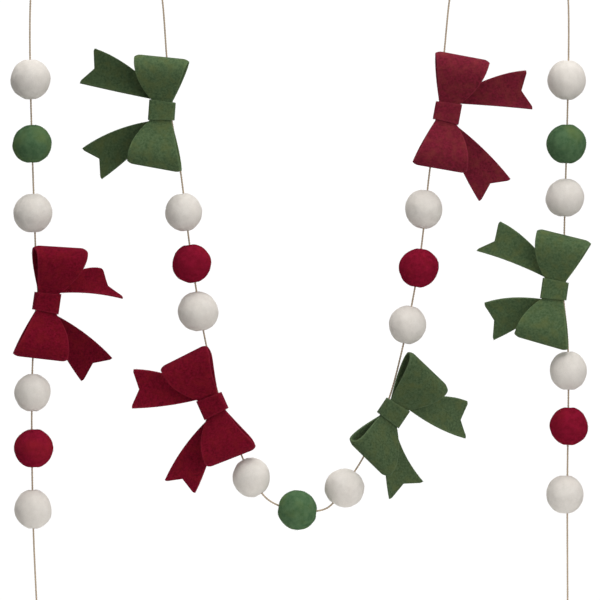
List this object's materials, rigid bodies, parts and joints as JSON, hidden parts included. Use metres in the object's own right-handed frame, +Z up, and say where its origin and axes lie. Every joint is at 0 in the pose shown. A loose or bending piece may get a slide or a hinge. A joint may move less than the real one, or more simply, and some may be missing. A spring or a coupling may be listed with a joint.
{
  "type": "felt bow garland",
  "caption": "Hanging garland of felt balls and flat felt bows threaded on a jute string, draped in strands from points along its top",
  "frame": {"origin": "middle of the top line, level with the four points that hold the string", "axes": "+Z up, X to the right along the top line as seen from the front, Y to the back"},
  "size_m": [0.3861, 0.0492, 0.4321],
  "materials": {
    "white-wool-felt": "matt wool felt",
    "green-wool-felt": "matt wool felt",
    "red-wool-felt": "matt wool felt",
    "green-craft-felt": "matt heathered felt",
    "red-craft-felt": "matt heathered felt",
    "jute-string": "matt twisted fibre"
  },
  "bodies": {
    "root": {"string": "jute-string", "ball-left-1": "white-wool-felt", "ball-left-2": "red-wool-felt", "ball-left-3": "white-wool-felt", "ball-left-4": "white-wool-felt", "ball-left-5": "green-wool-felt", "ball-left-6": "white-wool-felt", "ball-middle-1": "white-wool-felt", "ball-middle-2": "red-wool-felt", "ball-middle-3": "white-wool-felt", "ball-middle-4": "white-wool-felt", "ball-middle-5": "green-wool-felt", "ball-middle-6": "white-wool-felt", "ball-middle-7": "white-wool-felt", "ball-middle-8": "red-wool-felt", "ball-middle-9": "white-wool-felt", "ball-right-1": "white-wool-felt", "ball-right-2": "green-wool-felt", "ball-right-3": "white-wool-felt", "ball-right-4": "white-wool-felt", "ball-right-5": "red-wool-felt", "ball-right-6": "white-wool-felt", "bow-left-loops": "red-craft-felt", "bow-left-tails": "red-craft-felt", "bow-left-wrap": "red-craft-felt", "bow-upper-left-loops": "green-craft-felt", "bow-upper-left-tails": "green-craft-felt", "bow-upper-left-wrap": "green-craft-felt", "bow-lower-left-loops": "red-craft-felt", "bow-lower-left-tails": "red-craft-felt", "bow-lower-left-wrap": "red-craft-felt", "bow-lower-right-loops": "green-craft-felt", "bow-lower-right-tails": "green-craft-felt", "bow-lower-right-wrap": "green-craft-felt", "bow-upper-right-loops": "red-craft-felt", "bow-upper-right-tails": "red-craft-felt", "bow-upper-right-wrap": "red-craft-felt", "bow-right-loops": "green-craft-felt", "bow-right-tails": "green-craft-felt", "bow-right-wrap": "green-craft-felt", "knot-left": "jute-string", "knot-right": "jute-string"}
  },
  "joints": []
}
